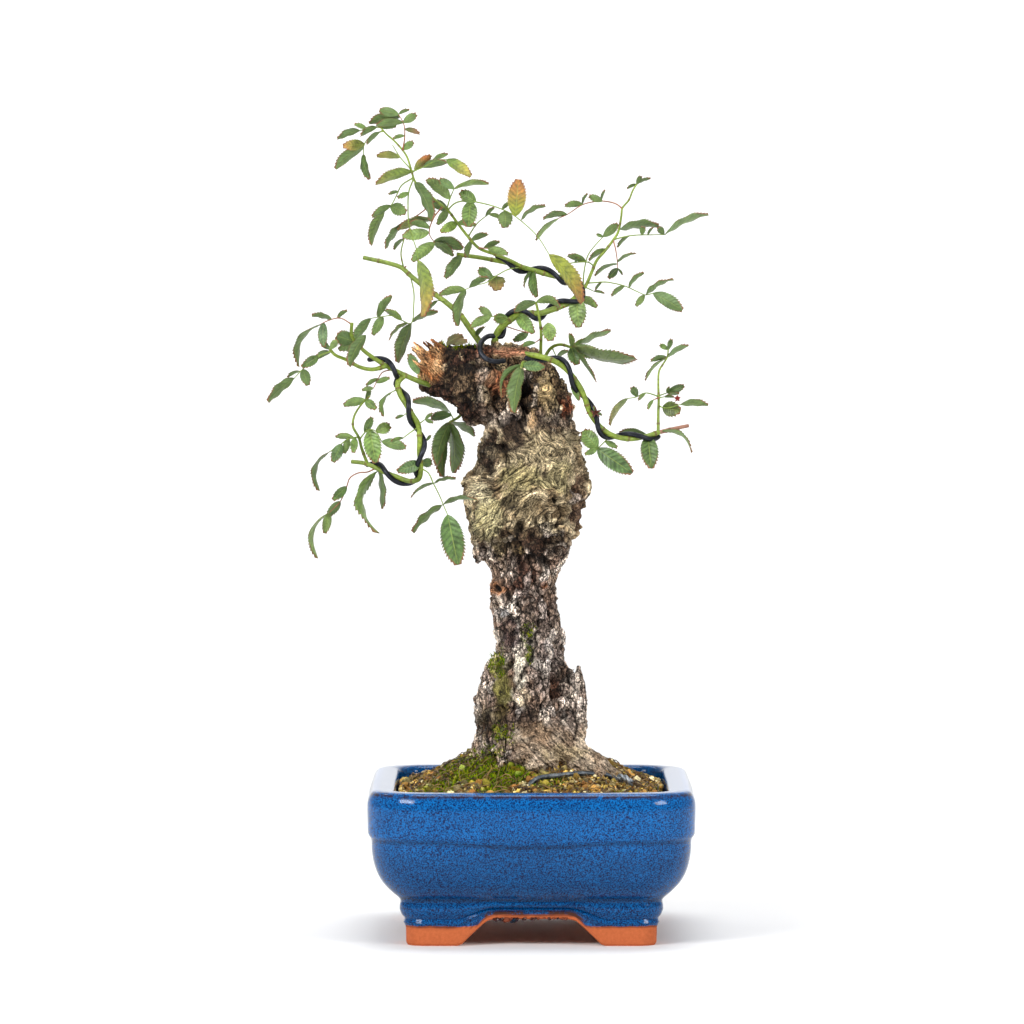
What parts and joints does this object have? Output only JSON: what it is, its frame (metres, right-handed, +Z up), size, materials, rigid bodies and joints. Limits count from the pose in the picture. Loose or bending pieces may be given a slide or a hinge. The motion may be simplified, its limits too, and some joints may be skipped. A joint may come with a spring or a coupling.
{
  "type": "rose bonsai in a glazed pot",
  "caption": "Small ornamental rose tree with a burled old trunk and wired leafy branches, growing from a mound of soil in a blue glazed footed pot.",
  "frame": {"origin": "middle of the whole part's box, on the surface that the pot's feet stand on", "axes": "+Z up, -Y towards the viewer of the front, +X to that viewer's right"},
  "size_m": [0.2076, 0.184, 0.3885],
  "materials": {
    "glaze": "gloss",
    "clay": "matte",
    "soil": "matte",
    "moss": "matte",
    "bark": "matte",
    "stem": "satin",
    "leaf": "satin",
    "wire": "satin",
    "anchor_wire": "satin",
    "mesh": "matte"
  },
  "bodies": {
    "root": {"pot": "glaze", "soil": "soil", "trunk": "bark", "branch_top": "leaf", "shoot_cut": "leaf", "branch_left": "leaf", "branch_right": "leaf", "spray_front": "leaf", "spray_upright": "leaf", "spray_right": "leaf", "spray_under_arm": "leaf", "wire_top": "wire", "wire_left": "wire", "wire_right": "wire", "anchor_wire": "anchor_wire", "drain_screen_front": "mesh", "drain_screen_back": "mesh"}
  },
  "joints": []
}
